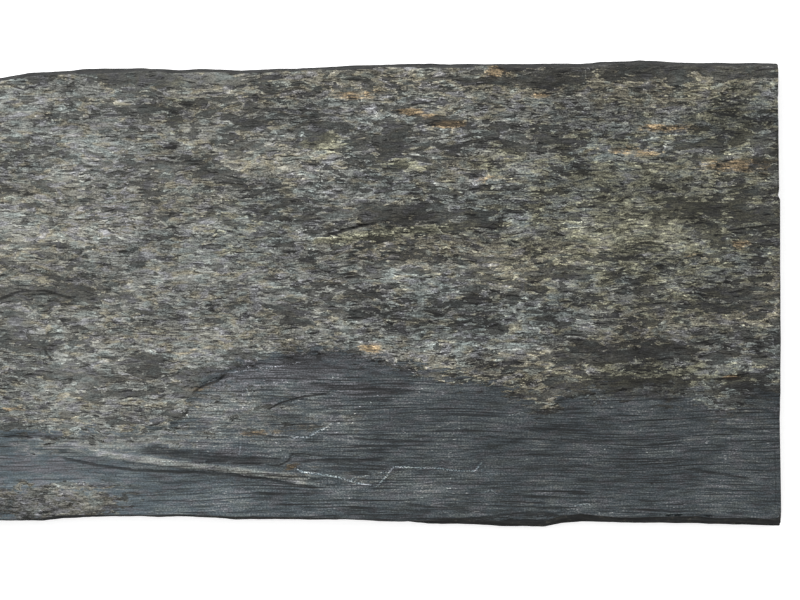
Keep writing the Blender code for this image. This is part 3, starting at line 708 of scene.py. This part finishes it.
class NodeBench:
    """Adds nodes to one tree. The same calls serve a material and a geometry tree."""

    def __init__(self, tree):
        self.tree = tree
        self.for_shape = tree.bl_idname == "GeometryNodeTree"
        self.place_x = 0

    def node(self, kind):
        item = self.tree.nodes.new(kind)
        self.place_x += 40
        item.location = (self.place_x, 0)
        return item

    def feed(self, socket, value):
        if isinstance(value, bpy.types.NodeSocket):
            self.tree.links.new(value, socket)
        elif socket.type == "RGBA":
            socket.default_value = tuple(value)[:3] + (1.0,)
        else:
            socket.default_value = value

    def feed_all(self, item, values, first=0):
        for number, value in enumerate(values, first):
            self.feed(item.inputs[number], value)

    def math(self, operation, *values):
        item = self.node("ShaderNodeMath")
        item.operation = operation
        self.feed_all(item, values)
        return item.outputs[0]

    def add(self, first, second):
        return self.math("ADD", first, second)

    def take(self, first, second):
        return self.math("SUBTRACT", first, second)

    def times(self, first, *others):
        for other in others:
            first = self.math("MULTIPLY", first, other)
        return first

    def highest(self, first, second):
        return self.math("MAXIMUM", first, second)

    def more(self, base, value, gain):
        """The base with the value added to it, times the gain."""
        return self.math("MULTIPLY_ADD", value, gain, base)

    def centred(self, value, gain):
        """How far the value stands over a half, times the gain."""
        return self.times(self.take(value, 0.5), gain)

    def swung(self, base, *swings):
        """The base with each value's distance from a half added to it, times its gain."""
        for value, gain in swings:
            base = self.more(base, self.take(value, 0.5), gain)
        return base

    def ramp(self, value, low, high, start=0.0, end=1.0):
        """A smooth step from start to end as the value goes from low to high."""
        item = self.node("ShaderNodeMapRange")
        item.interpolation_type = "SMOOTHSTEP"
        self.feed_all(item, (value, low, high, start, end))
        return item.outputs[0]

    def between(self, value, low, full, still_full, high):
        """One where the value lies from full to still full, and nothing under low or over high."""
        return self.times(self.ramp(value, low, full), self.ramp(value, high, still_full))

    def unless(self, value, rest):
        """One where the value is nothing, down to the rest where the value is one."""
        return self.ramp(value, 0.0, 1.0, 1.0, rest)

    def vector(self, operation, first, *others):
        item = self.node("ShaderNodeVectorMath")
        item.operation = operation
        self.feed_all(item, (first, *others))
        return item.outputs[0]

    def scaled(self, vector, scale):
        item = self.node("ShaderNodeVectorMath")
        item.operation = "SCALE"
        self.feed(item.inputs[0], vector)
        self.feed(item.inputs["Scale"], scale)
        return item.outputs[0]

    def joined(self, x, y, z):
        item = self.node("ShaderNodeCombineXYZ")
        self.feed_all(item, (x, y, z))
        return item.outputs[0]

    def parts(self, vector):
        item = self.node("ShaderNodeSeparateXYZ")
        self.feed(item.inputs[0], vector)
        return item.outputs

    def lumps(self, place, size, shift):
        """The place in lumps: size in millimetres, moved by the shift."""
        gap = (0.0,) * (3 - len(size))
        scale = tuple(1.0 / part for part in size)
        return self.vector("MULTIPLY_ADD", place, scale + gap, shift + gap)

    def noise(self, place, name, colour=False):
        """One of the noises above, flat unless its lumps have a height."""
        size, detail, roughness, shift = NOISES[name]
        item = self.node("ShaderNodeTexNoise")
        item.noise_dimensions = "%dD" % len(size)
        self.feed(item.inputs["Vector"], self.lumps(place, size, shift))
        item.inputs["Scale"].default_value = 1.0
        item.inputs["Detail"].default_value = detail
        item.inputs["Roughness"].default_value = roughness
        return item.outputs[1] if colour else item.outputs[0]

    def cells(self, place, size, shift):
        """Stretched cells: three random numbers for each, and a place's lean and reach in it."""
        item = self.node("ShaderNodeTexVoronoi")
        item.voronoi_dimensions = "2D"
        item.feature = "F1"
        spot = self.lumps(place, size, shift)
        self.feed(item.inputs["Vector"], spot)
        item.inputs["Scale"].default_value = 1.0
        first, second, third = self.parts(item.outputs["Color"])
        lean = self.parts(self.vector("SUBTRACT", spot, item.outputs["Position"]))
        return {"first": first, "second": second, "third": third,
                "lean": lean[1], "reach": item.outputs["Distance"]}

    def mix(self, share, first, second):
        item = self.node("ShaderNodeMix")
        item.data_type = "FLOAT"
        self.feed(item.inputs[0], share)
        self.feed_all(item, (first, second), 2)
        return item.outputs[0]

    def tint(self, share, first, second):
        item = self.node("ShaderNodeMix")
        item.data_type = "RGBA"
        self.feed(item.inputs[0], share)
        self.feed_all(item, (first, second), 6)
        return item.outputs[2]

    def attribute(self, name, kind="FLOAT"):
        if self.for_shape:
            item = self.node("GeometryNodeInputNamedAttribute")
            item.data_type = kind
            item.inputs[0].default_value = name
            return item.outputs[0]
        item = self.node("ShaderNodeAttribute")
        item.attribute_name = name
        return item.outputs[1] if kind == "FLOAT_VECTOR" else item.outputs[2]

    def millimetres(self):
        """The place on the stone in millimetres, the same in both kinds of tree."""
        if self.for_shape:
            place = self.node("GeometryNodeInputPosition").outputs[0]
        else:
            place = self.node("ShaderNodeTexCoord").outputs["Object"]
        return self.vector("MULTIPLY", place, (1000.0, 1000.0, 1000.0))


def wandered(bench, place, name, reach_x, reach_y):
    """The place shifted by up to a reach each way, in the lumps of one noise."""
    shift = bench.vector("SUBTRACT", bench.noise(place, name, colour=True), (0.5, 0.5, 0.5))
    shift = bench.vector("MULTIPLY", shift, (reach_x * 2.0, reach_y * 2.0, 0.0))
    return bench.vector("ADD", place, shift)


def crust_share(bench, tear):
    """How crusted the stone is at a place, from the smooth front (0) to the rough back (1)."""
    side = bench.swung(bench.attribute("crust_side"), (tear, 80.0))
    extra = bench.swung(bench.attribute("crusted"), (tear, 1.8))
    return bench.highest(bench.ramp(side, -1.0, 2.5), bench.ramp(extra, 0.42, 0.55))


def scale_height(bench, cells, step, tilt):
    """Height of lens-shaped scales: each stands a little higher or lower and leans its own way."""
    lean = bench.times(cells["lean"], bench.centred(cells["second"], tilt * 2.0))
    return bench.swung(lean, (cells["first"], step * 2.0))


# The wide, slow parts of the pattern, which geometry nodes keep on the points of a piece.
SLOW_FIELDS = {"swayed": "FLOAT_VECTOR", "band": "FLOAT", "cloud": "FLOAT", "bend": "FLOAT"}


def slow_fields(bench, place):
    swayed = wandered(bench, place, "sway", 9.0, 4.0)
    return {"swayed": swayed, "band": bench.noise(swayed, "band"),
            "cloud": bench.noise(swayed, "cloud"), "bend": bench.noise(place, "bend")}


def kept_slow_fields(bench):
    return {name: bench.attribute(name, kind) for name, kind in SLOW_FIELDS.items()}


def riven_fields(bench, slow):
    """The riven pattern: broad and small scales, and the plates between them."""
    torn = wandered(bench, slow["swayed"], "torn", 4.0, 1.4)
    tear = bench.noise(torn, "tear")
    broad = bench.cells(torn, (27.0, 7.6), (0.7, 0.3))
    small = bench.cells(torn, (10.0, 3.4), (9.1, 4.3))
    wish = bench.centred(broad["third"], 0.30)
    wish = bench.swung(wish, (tear, 1.5), (slow["band"], 0.8))
    wish = bench.more(wish, bench.attribute("bare"), 0.42)
    wish = bench.more(wish, bench.attribute("pale"), -0.15)
    plate = bench.ramp(wish, 0.050, 0.075)
    crust = bench.take(1.0, plate)
    small_height = bench.add(scale_height(bench, small, 0.18, 0.26), 0.26)
    height = bench.more(scale_height(bench, broad, 0.20, 0.26), small_height, crust)
    return {"torn": torn, "tear": tear, "broad": broad, "small": small, "wish": wish,
            "plate": plate, "crust": crust, "height": height, "crusted": crust_share(bench, tear)}


def streak_fields(bench, place, slow):
    """Fine lines along the grain of the smooth front."""
    bent = bench.vector("ADD", place, bench.joined(0.0, bench.centred(slow["bend"], 14.0), 0.0))
    return {name: bench.noise(bent, name) for name in ("fine", "long", "slit")}


# ---- The relief ----------------------------------------------------------------------------------


def relief_inputs(tree):
    """Names the inputs of the relief and returns the identifier of each."""
    tree.interface.new_socket("Geometry", in_out="INPUT", socket_type="NodeSocketGeometry")
    tree.interface.new_socket("Geometry", in_out="OUTPUT", socket_type="NodeSocketGeometry")
    identifiers = {}
    for name, key in RELIEF_SIZES.items():
        socket = tree.interface.new_socket(name, in_out="INPUT", socket_type="NodeSocketFloat")
        socket.subtype = "DISTANCE"
        socket.default_value = getattr(settings(), key)
        identifiers[name] = socket.identifier
    for name in FINISH_NAMES:
        socket = tree.interface.new_socket(name, in_out="INPUT", socket_type="NodeSocketMaterial")
        identifiers[name] = socket.identifier
    return identifiers


def side_shift(bench, place, fray):
    """How the split layers of the sides stand out."""
    bedding = bench.take(bench.noise(place, "fray"), 0.5)
    reach = bench.swung(bedding, (bench.noise(place, "fray chips"), 1.2))
    reach = bench.times(reach, fray, bench.attribute("side_share"))
    normal = bench.node("GeometryNodeInputNormal").outputs[0]
    return bench.scaled(bench.vector("MULTIPLY", normal, (1.0, 1.0, 0.0)), reach)


def face_shift(bench, place, slow, given):
    """How the flats and crumbs of the riven face stand up, and the ripple of its front."""
    field = riven_fields(bench, slow)
    streaks = streak_fields(bench, place, slow)
    crumbs = bench.centred(bench.noise(place, "crumbs"), given["Crumb height"])
    rough = bench.more(crumbs, field["height"], given["Flake step"])
    smooth = bench.centred(streaks["long"], given["Front ripple"])
    lift = bench.mix(field["crusted"], smooth, rough)
    return bench.joined(0.0, 0.0, bench.times(lift, bench.attribute("up_share")))


def relief_group():
    """Geometry nodes that lift the flats and crumbs of the riven face and fray its split sides."""
    tree = bpy.data.node_groups.new("riven_relief", "GeometryNodeTree")
    identifiers = relief_inputs(tree)
    bench = NodeBench(tree)
    given = bench.node("NodeGroupInput").outputs
    place = bench.millimetres()
    slow = slow_fields(bench, place)
    shape = given["Geometry"]
    for name, kind in SLOW_FIELDS.items():
        keep = bench.node("GeometryNodeStoreNamedAttribute")
        keep.data_type = kind
        keep.domain = "POINT"
        keep.inputs["Name"].default_value = name
        bench.feed(keep.inputs["Geometry"], shape)
        bench.feed(keep.inputs["Value"], slow[name])
        shape = keep.outputs["Geometry"]
    moved = bench.node("GeometryNodeSetPosition")
    bench.feed(moved.inputs["Geometry"], shape)
    bench.feed(moved.inputs["Offset"], bench.vector(
        "ADD", face_shift(bench, place, slow, given), side_shift(bench, place, given["Side fray"])))
    real = bench.node("GeometryNodeRealizeInstances")
    bench.feed(real.inputs[0], moved.outputs[0])
    shape = real.outputs[0]
    kind = bench.attribute("kind", "INT")
    for number, name in enumerate(FINISH_NAMES):
        same = bench.node("FunctionNodeCompare")
        same.data_type = "INT"
        same.operation = "EQUAL"
        bench.feed_all(same, (kind, number), 2)
        finish = bench.node("GeometryNodeSetMaterial")
        bench.feed(finish.inputs["Geometry"], shape)
        bench.feed(finish.inputs["Selection"], same.outputs[0])
        bench.feed(finish.inputs["Material"], given[name])
        shape = finish.outputs["Geometry"]
    bench.feed(bench.node("NodeGroupOutput").inputs[0], shape)
    return tree, identifiers


def apply_nodes(name, mesh, tree, values):
    """Runs a geometry tree on a mesh and keeps its result as a plain piece."""
    carrier = link_piece(name + "_carrier", mesh)
    modifier = carrier.modifiers.new("nodes", "NODES")
    modifier.node_group = tree
    for identifier, value in values.items():
        modifier[identifier] = value
    bpy.context.view_layer.update()
    graph = bpy.context.evaluated_depsgraph_get()
    result = bpy.data.meshes.new_from_object(carrier.evaluated_get(graph), depsgraph=graph)
    result.name = name
    carrier.modifiers.remove(modifier)
    bpy.data.objects.remove(carrier, do_unlink=True)
    return link_piece(name, result)


# ---- The finishes --------------------------------------------------------------------------------


def soft_top(bench, tone, knee, keep):
    """Holds back the part of a brightness that stands over the knee."""
    over = bench.highest(bench.take(tone, knee), 0.0)
    return bench.more(tone, over, keep - 1.0)


def stretched(bench, tone, middle, gain):
    """The same brightness with its contrast about the middle multiplied by the gain."""
    return bench.more(middle, bench.take(tone, middle), gain)


def riven_tone(bench, field, slow, fibre, grain):
    """Brightness of the rough back, with painted highlights and painted shade at its small steps,
    plates and slits.
    """
    broken = bench.noise(field["torn"], "broken")
    small = field["small"]
    wish = field["wish"]
    tear = field["tear"]
    crust = field["crust"]
    ragged = bench.swung(0.0, (fibre, 1.7), (grain, 1.1))
    tone = bench.more(ROUGH_LEVEL, ragged, bench.unless(field["plate"], 0.60))
    tone = bench.swung(tone, (slow["cloud"], 1.0), (field["broad"]["first"], 0.20))
    tone = bench.more(tone, bench.centred(small["first"], 0.30), crust)
    tone = bench.more(tone, field["plate"], -0.34)
    # Pale torn rims of the plates and of some small scales.
    rim_and_highlight_gate = bench.ramp(fibre, 0.42, 0.52)
    rim = bench.times(bench.between(wish, 0.010, 0.035, 0.055, 0.070), rim_and_highlight_gate)
    edge = bench.times(
        bench.ramp(small["reach"], 0.48, 0.62), bench.ramp(small["second"], 0.45, 0.60), crust,
        bench.ramp(fibre, 0.46, 0.56), 0.8)
    tone = bench.more(tone, bench.highest(rim, edge), 0.38)
    # Painted highlights on the lips of the small steps, then painted shade at their feet, under the
    # plates and in the slits.
    lip = bench.times(bench.between(tear, 0.560, 0.568, 0.580, 0.600), crust, rim_and_highlight_gate)
    tone = bench.more(tone, lip, 0.30)
    under = bench.between(wish, 0.062, 0.078, 0.085, 0.115)
    under = bench.times(under, bench.ramp(fibre, 0.54, 0.44), 0.52)
    painted_foot_shade = bench.between(tear, 0.520, 0.545, 0.558, 0.566)
    painted_foot_shade = bench.times(painted_foot_shade, crust, bench.ramp(fibre, 0.56, 0.46), 0.42)
    slit = bench.times(bench.ramp(broken, 0.365, 0.325), 0.68)
    painted_shade = bench.highest(bench.highest(under, slit), painted_foot_shade)
    return soft_top(bench, bench.take(tone, painted_shade), ROUGH_KNEE, 0.55)


def front_tone(bench, place, streaks, slow, grain):
    """Brightness of the smooth front."""
    tone = bench.swung(FRONT_LEVEL, (streaks["fine"], 1.6), (streaks["long"], 0.8))
    tone = soft_top(bench, tone, FRONT_KNEE, 0.42)
    tone = bench.swung(tone, (grain, 0.9), (slow["cloud"], 0.6))
    tone = bench.more(tone, bench.ramp(streaks["slit"], 0.39, 0.33), -0.48)
    tone = bench.more(tone, bench.ramp(streaks["slit"], 0.73, 0.78), 0.15)
    flecks = bench.ramp(bench.noise(place, "fleck"), 0.72, 0.78)
    strewn = bench.times(flecks, bench.ramp(slow["cloud"], 0.48, 0.60))
    return bench.more(tone, strewn, 0.45)


def line_masks(bench, tear, grain):
    """The listed lines: how strongly each kind shows at a place."""
    wobble = bench.centred(tear, 3.6)
    masks = {}
    for name, (sway, full, end, _, _) in LINE_LOOKS.items():
        side = bench.more(bench.attribute(name + "_side"), wobble, sway)
        shown = bench.ramp(bench.math("ABSOLUTE", side), end, full)
        masks[name] = bench.times(shown, bench.attribute(name + "_power"))
    masks["thread"] = bench.times(masks["thread"], bench.ramp(grain, 0.36, 0.50))
    return masks


def lit_colour(bench, chroma, tone):
    """Turns a brightness for the eye into the share of light that the stone throws back."""
    bright = bench.math("EXPONENT", bench.times(tone, EYE_POWER))
    return bench.scaled(chroma, bench.times(bright, 1.0 / EXPOSURE))


def new_material(name):
    material = bpy.data.materials.new(name)
    material.use_nodes = True
    shader = material.node_tree.nodes["Principled BSDF"]
    shader.inputs["Specular IOR Level"].default_value = 0.35
    return material, shader, NodeBench(material.node_tree)


def add_bump(bench, shader, height):
    """Fine relief under the reach of the mesh, from a height in millimetres."""
    bump = bench.node("ShaderNodeBump")
    bump.inputs["Strength"].default_value = 1.0
    bump.inputs["Distance"].default_value = MM
    bench.feed(bump.inputs["Height"], height)
    bench.feed(shader.inputs["Normal"], bump.outputs[0])


def face_chroma(bench, field, slow, fibre, smooth_tone, along, rubbed):
    """Colour of the riven face apart from its brightness: stains, tan, teal and violet places."""
    hues = settings()
    hue = bench.noise(field["torn"], "hue")
    second = bench.noise(field["torn"], "second hue")
    front = bench.tint(bench.ramp(smooth_tone, -1.40, -0.80), hues.front_hue, hues.worn_front_hue)
    chroma = bench.tint(field["crusted"], front, hues.crust_hue)
    across = bench.times(
        bench.ramp(along, -200.0, 150.0, 0.45, 1.0), field["crusted"],
        bench.unless(field["plate"], 0.35))
    earth = bench.times(
        bench.ramp(hue, 0.50, 0.66), bench.ramp(field["crusted"], 0.0, 1.0, 0.25, 1.0),
        bench.unless(field["plate"], 0.4), 0.65)
    for share, colour in (
            (bench.times(bench.ramp(slow["bend"], 0.48, 0.70), across, 0.70), hues.earth_hue),
            (bench.times(bench.ramp(slow["bend"], 0.50, 0.32), across, 0.38), hues.teal_hue),
            (rubbed, hues.crust_hue),
            (earth, hues.earth_hue),
            (bench.times(bench.ramp(second, 0.52, 0.68), 0.5), hues.teal_hue),
            (bench.times(bench.ramp(second, 0.46, 0.32), 0.6), hues.violet_hue)):
        chroma = bench.tint(share, chroma, colour)
    mottle = bench.swung(0.0, (hue, 1.3), (fibre, 1.3))
    for name, colour, low, high, most in (
            ("olive", hues.olive_hue, 0.35, 0.95, 0.8),
            ("violet", hues.violet_hue, 0.35, 0.9, 0.9),
            ("rust", hues.rust_hue, 0.55, 1.15, 1.0)):
        stain = bench.ramp(bench.add(bench.attribute(name), mottle), low, high)
        chroma = bench.tint(bench.times(stain, most), chroma, colour)
    return chroma


def face_material():
    """The riven face: plates and crust at the back, fine lines on the smooth front."""
    material, shader, bench = new_material("riven_slate_face")
    place = bench.millimetres()
    slow = kept_slow_fields(bench)
    field = riven_fields(bench, slow)
    crusted = field["crusted"]
    streaks = streak_fields(bench, place, slow)
    fibre = bench.noise(field["torn"], "fibre")
    grain = bench.noise(place, "grain")
    along, across, _ = bench.parts(place)

    smooth = front_tone(bench, place, streaks, slow, grain)
    smooth = stretched(bench, smooth, FRONT_MIDDLE, bench.ramp(along, -250.0, 0.0, 0.72, 1.45))
    smooth_fall = bench.add(
        bench.ramp(along, -380.0, 250.0, 0.38, -0.02),
        bench.ramp(across, -165.0, -195.0, 0.0, 0.08))
    rough = riven_tone(bench, field, slow, fibre, grain)
    rough = stretched(bench, rough, ROUGH_MIDDLE, bench.ramp(along, -250.0, 150.0, 1.06, 1.46))
    rough_fall = bench.add(
        bench.ramp(along, -420.0, 440.0, 0.09, -0.17),
        bench.ramp(across, -180.0, -196.0, 0.0, -0.13))
    tone = bench.mix(crusted, bench.add(smooth, smooth_fall), bench.add(rough, rough_fall))
    tone = bench.more(tone, bench.attribute("pale"), 0.15)
    dusted = bench.swung(bench.attribute("dusty"), (fibre, 1.0), (field["tear"], 1.6))
    dusted = bench.times(bench.ramp(dusted, 0.25, 0.80), bench.take(1.0, crusted))
    tone = bench.more(tone, dusted, 0.30)

    lift_rough = bench.swung(bench.times(field["height"], 1.3), (fibre, 0.9), (grain, 0.5))
    lift_smooth = bench.more(bench.times(streaks["fine"], 0.45), streaks["long"], 0.5)
    height = bench.mix(crusted, lift_smooth, lift_rough)
    masks = line_masks(bench, field["tear"], grain)
    # The grooves darken the face with painted shade; threads and ribs lighten it.
    for name, (_, _, _, brightness, stand) in LINE_LOOKS.items():
        tone = bench.more(tone, masks[name], brightness)
        height = bench.more(height, masks[name], stand)
    add_bump(bench, shader, height)

    rubbed = bench.highest(bench.times(masks["rib"], 1.8), dusted)
    chroma = face_chroma(bench, field, slow, fibre, smooth, along, rubbed)
    bench.feed(shader.inputs["Base Color"], lit_colour(bench, chroma, tone))
    bench.feed(shader.inputs["Roughness"], bench.mix(crusted, 0.60, 0.82))
    return material


def side_material():
    """The split and sawn sides, where the bedding shows as fine level lines."""
    material, shader, bench = new_material("riven_slate_side")
    place = bench.millimetres()
    bedding = bench.noise(place, "bedding")
    chips = bench.noise(place, "side chips")
    # SIDE_LEVEL makes the sides dark, partly with painted shade.
    tone = bench.swung(SIDE_LEVEL, (bedding, 1.6), (chips, 0.9))
    tone = bench.more(tone, bench.ramp(chips, 0.60, 0.68), 0.3)
    chroma = bench.tint(bench.ramp(chips, 0.45, 0.70), *TWIN_HUES["side"])
    bench.feed(shader.inputs["Base Color"], lit_colour(bench, chroma, tone))
    shader.inputs["Roughness"].default_value = 0.78
    add_bump(bench, shader, bench.more(bench.times(bedding, 1.1), chips, 0.9))
    return material


def back_material():
    """The underside: one broad split surface with soft lines, thin torn sheets and dull stains."""
    material, shader, bench = new_material("riven_slate_back")
    place = bench.millimetres()
    lines = bench.noise(place, "back lines")
    cloud = bench.noise(place, "back cloud")
    sheet = bench.noise(wandered(bench, place, "back torn", 6.0, 2.4), "back sheet")
    grain = bench.noise(place, "back grain")
    sheets = bench.add(bench.ramp(sheet, 0.455, 0.462), bench.ramp(sheet, 0.560, 0.567))
    rims = bench.highest(
        bench.between(sheet, 0.448, 0.456, 0.462, 0.470),
        bench.between(sheet, 0.553, 0.561, 0.567, 0.576))
    tone = bench.swung(BACK_LEVEL, (lines, 0.9), (cloud, 0.9), (grain, 0.8))
    tone = bench.more(tone, sheets, 0.09)
    tone = bench.more(tone, bench.times(rims, bench.ramp(lines, 0.42, 0.52)), 0.32)
    tone = bench.more(tone, bench.ramp(lines, 0.36, 0.28), -0.35)
    chroma = bench.tint(bench.ramp(cloud, 0.50, 0.68), *TWIN_HUES["back"])
    bench.feed(shader.inputs["Base Color"], lit_colour(bench, chroma, tone))
    shader.inputs["Roughness"].default_value = 0.74
    lift = bench.more(bench.times(sheets, 0.8), lines, 0.8)
    add_bump(bench, shader, bench.more(lift, grain, 0.35))
    return material


# ---- Settings and operators ----------------------------------------------------------------------


def length_property(name, text, value, most):
    return bpy.props.FloatProperty(
        name=name, description=text, default=value, min=0.0, max=most, precision=5, unit="LENGTH",
        subtype="DISTANCE")


def hue_property(name, text, value):
    return bpy.props.FloatVectorProperty(
        name=name, description="Share of red, green and blue of " + text, size=3, default=value,
        min=0.0, max=2.0)


# The name of each size of the relief, and the setting that holds it.
RELIEF_SIZES = {
    "Flake step": "flake_step",
    "Crumb height": "crumb_height",
    "Front ripple": "front_ripple",
    "Side fray": "side_fray",
}


class SlabSettings(bpy.types.PropertyGroup):
    flake_step: length_property("Flake step", "Height of the flats over the crust", 0.00016, 0.002)
    crumb_height: length_property(
        "Crumb height", "Height of the crumbs of the crust", 0.00035, 0.002)
    front_ripple: length_property(
        "Front ripple", "Height of the grain of the smooth front", 0.00025, 0.002)
    side_fray: length_property("Side fray", "How far the split layers stand out", 0.0009, 0.003)
    crust_hue: hue_property("Crust hue", "the rough back", (1.00, 1.02, 0.935))
    front_hue: hue_property("Front hue", "the smooth front", (0.75, 1.00, 1.15))
    worn_front_hue: hue_property(
        "Worn front hue", "the front where it is rubbed", (0.97, 1.01, 1.01))
    earth_hue: hue_property("Earth hue", "tan places", (1.14, 1.02, 0.70))
    teal_hue: hue_property("Teal hue", "teal places", (0.86, 1.04, 1.02))
    violet_hue: hue_property("Violet hue", "violet places", (0.98, 0.99, 1.10))
    olive_hue: hue_property("Olive hue", "olive places", (1.08, 1.06, 0.72))
    rust_hue: hue_property("Rust hue", "rusty places", (1.33, 1.00, 0.60))


class StageSettings(bpy.types.PropertyGroup):
    floor_colour: bpy.props.FloatVectorProperty(
        name="Floor", description="Colour of the floor", subtype="COLOR", size=4,
        default=(0.94, 0.94, 0.94, 1.0), min=0.0, max=1.0)
    floor_glow: bpy.props.FloatProperty(
        name="Floor glow", description="Light that the floor gives of itself", default=0.45,
        min=0.0)
    key_power: bpy.props.FloatProperty(
        name="Key light", description="Power of the soft key light", default=75.0, min=0.0,
        subtype="POWER", unit="POWER")
    room_light: bpy.props.FloatProperty(
        name="Room light", description="Strength of the light from all sides", default=0.85,
        min=0.0)
    camera_height: bpy.props.FloatProperty(
        name="Camera height", description="Height of the camera over the floor", default=2.4,
        min=0.5, subtype="DISTANCE", unit="LENGTH")


class RIVEN_OT_slab(bpy.types.Operator):
    """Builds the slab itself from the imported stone"""
    bl_idname = "riven.build_slab"
    bl_label = "Build slab"

    def execute(self, context):
        chosen = settings()
        mesh = build_slab_mesh()
        store_shares(mesh)
        store_places(mesh)
        finishes = (face_material(), side_material(), back_material())
        mesh.materials.append(finishes[RIVEN])
        tree, identifiers = relief_group()
        values = {identifiers[name]: getattr(chosen, key) for name, key in RELIEF_SIZES.items()}
        values.update(zip((identifiers[name] for name in FINISH_NAMES), finishes))
        piece = apply_nodes("riven_slab", mesh, tree, values)
        add_bake_map(piece.data)
        piece.data.polygons.foreach_set("use_smooth", [True] * len(piece.data.polygons))
        piece.data.set_sharp_from_angle(angle=math.radians(42.0))
        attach(piece, BODY)
        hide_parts(NODE)
        self.report({"INFO"}, "Slab built")
        return {"FINISHED"}


def floor_paint(chosen):
    """A plain glowing floor that is clear from below, so that the underside can be looked at."""
    paint = bpy.data.materials.new("floor_paint")
    paint.use_nodes = True
    nodes = paint.node_tree.nodes
    links = paint.node_tree.links
    shader = nodes["Principled BSDF"]
    shader.inputs["Base Color"].default_value = tuple(chosen.floor_colour)
    shader.inputs["Roughness"].default_value = 0.9
    shader.inputs["Emission Color"].default_value = (1.0, 1.0, 1.0, 1.0)
    shader.inputs["Emission Strength"].default_value = chosen.floor_glow
    side = nodes.new("ShaderNodeNewGeometry")
    clear = nodes.new("ShaderNodeBsdfTransparent")
    choice = nodes.new("ShaderNodeMixShader")
    links.new(side.outputs["Backfacing"], choice.inputs[0])
    links.new(shader.outputs[0], choice.inputs[1])
    links.new(clear.outputs[0], choice.inputs[2])
    links.new(choice.outputs[0], nodes["Material Output"].inputs["Surface"])
    return paint


def add_floor(chosen):
    mesh = bpy.data.meshes.new("floor")
    corners = [(x, y, FLOOR_LEVEL) for x, y in (
        (-FLOOR_REACH, -FLOOR_REACH), (FLOOR_REACH, -FLOOR_REACH), (FLOOR_REACH, FLOOR_REACH),
        (-FLOOR_REACH, FLOOR_REACH))]
    mesh.from_pydata(corners, [], [(0, 1, 2, 3)])
    mesh.materials.append(floor_paint(chosen))
    floor = link_piece("floor", mesh)


def add_lights(chosen):
    world = bpy.data.worlds.new("studio")
    world.use_nodes = True
    background = world.node_tree.nodes["Background"]
    background.inputs["Color"].default_value = (1.0, 1.0, 1.0, 1.0)
    background.inputs["Strength"].default_value = chosen.room_light
    bpy.context.scene.world = world
    lamp = bpy.data.lights.new("key", "AREA")
    lamp.shape = "DISK"
    lamp.size = 1.0
    lamp.energy = chosen.key_power
    key = link_piece("key", lamp)
    key.location = KEY_PLACE
    key.rotation_euler = (-key.location).to_track_quat("-Z", "Y").to_euler()


def add_camera(chosen):
    lens = bpy.data.cameras.new("camera")
    camera = link_piece("camera", lens)
    camera.location = (*AIM, chosen.camera_height)
    lens.sensor_width = SENSOR
    lens.lens = SENSOR * (chosen.camera_height - FACE_LEVEL) / SEEN_WIDTH
    lens.clip_start = 0.05
    bpy.context.scene.camera = camera
    bpy.context.scene.view_settings.view_transform = "Standard"


class RIVEN_OT_stage(bpy.types.Operator):
    """Builds the floor, the lights and the camera"""
    bl_idname = "riven.build_stage"
    bl_label = "Build stage"

    def execute(self, context):
        chosen = context.scene.riven_stage
        add_floor(chosen)
        add_lights(chosen)
        add_camera(chosen)
        self.report({"INFO"}, "Stage built")
        return {"FINISHED"}


class RIVEN_PT_sidebar(bpy.types.Panel):
    """Shows the sizes and colours of the slab and the stage, and the buttons that build them"""
    bl_idname = "RIVEN_PT_sidebar"
    bl_label = "Riven slate slab"
    bl_space_type = "VIEW_3D"
    bl_region_type = "UI"
    bl_category = "Slate"

    def draw(self, context):
        for group in (context.scene.riven_slate, context.scene.riven_stage):
            for name in group.bl_rna.properties.keys():
                if name not in ("rna_type", "name"):
                    self.layout.prop(group, name)
        self.layout.operator(RIVEN_OT_slab.bl_idname)
        self.layout.operator(RIVEN_OT_stage.bl_idname)


CLASSES = (SlabSettings, StageSettings, RIVEN_OT_slab, RIVEN_OT_stage, RIVEN_PT_sidebar)


def register():
    for item in CLASSES:
        bpy.utils.register_class(item)
    bpy.types.Scene.riven_slate = bpy.props.PointerProperty(type=SlabSettings)
    bpy.types.Scene.riven_stage = bpy.props.PointerProperty(type=StageSettings)


def unregister():
    del bpy.types.Scene.riven_stage
    del bpy.types.Scene.riven_slate
    for item in reversed(CLASSES):
        bpy.utils.unregister_class(item)


def main():
    register()
    bpy.ops.riven.build_slab()
    bpy.ops.riven.build_stage()


if __name__ == "__main__":
    main()
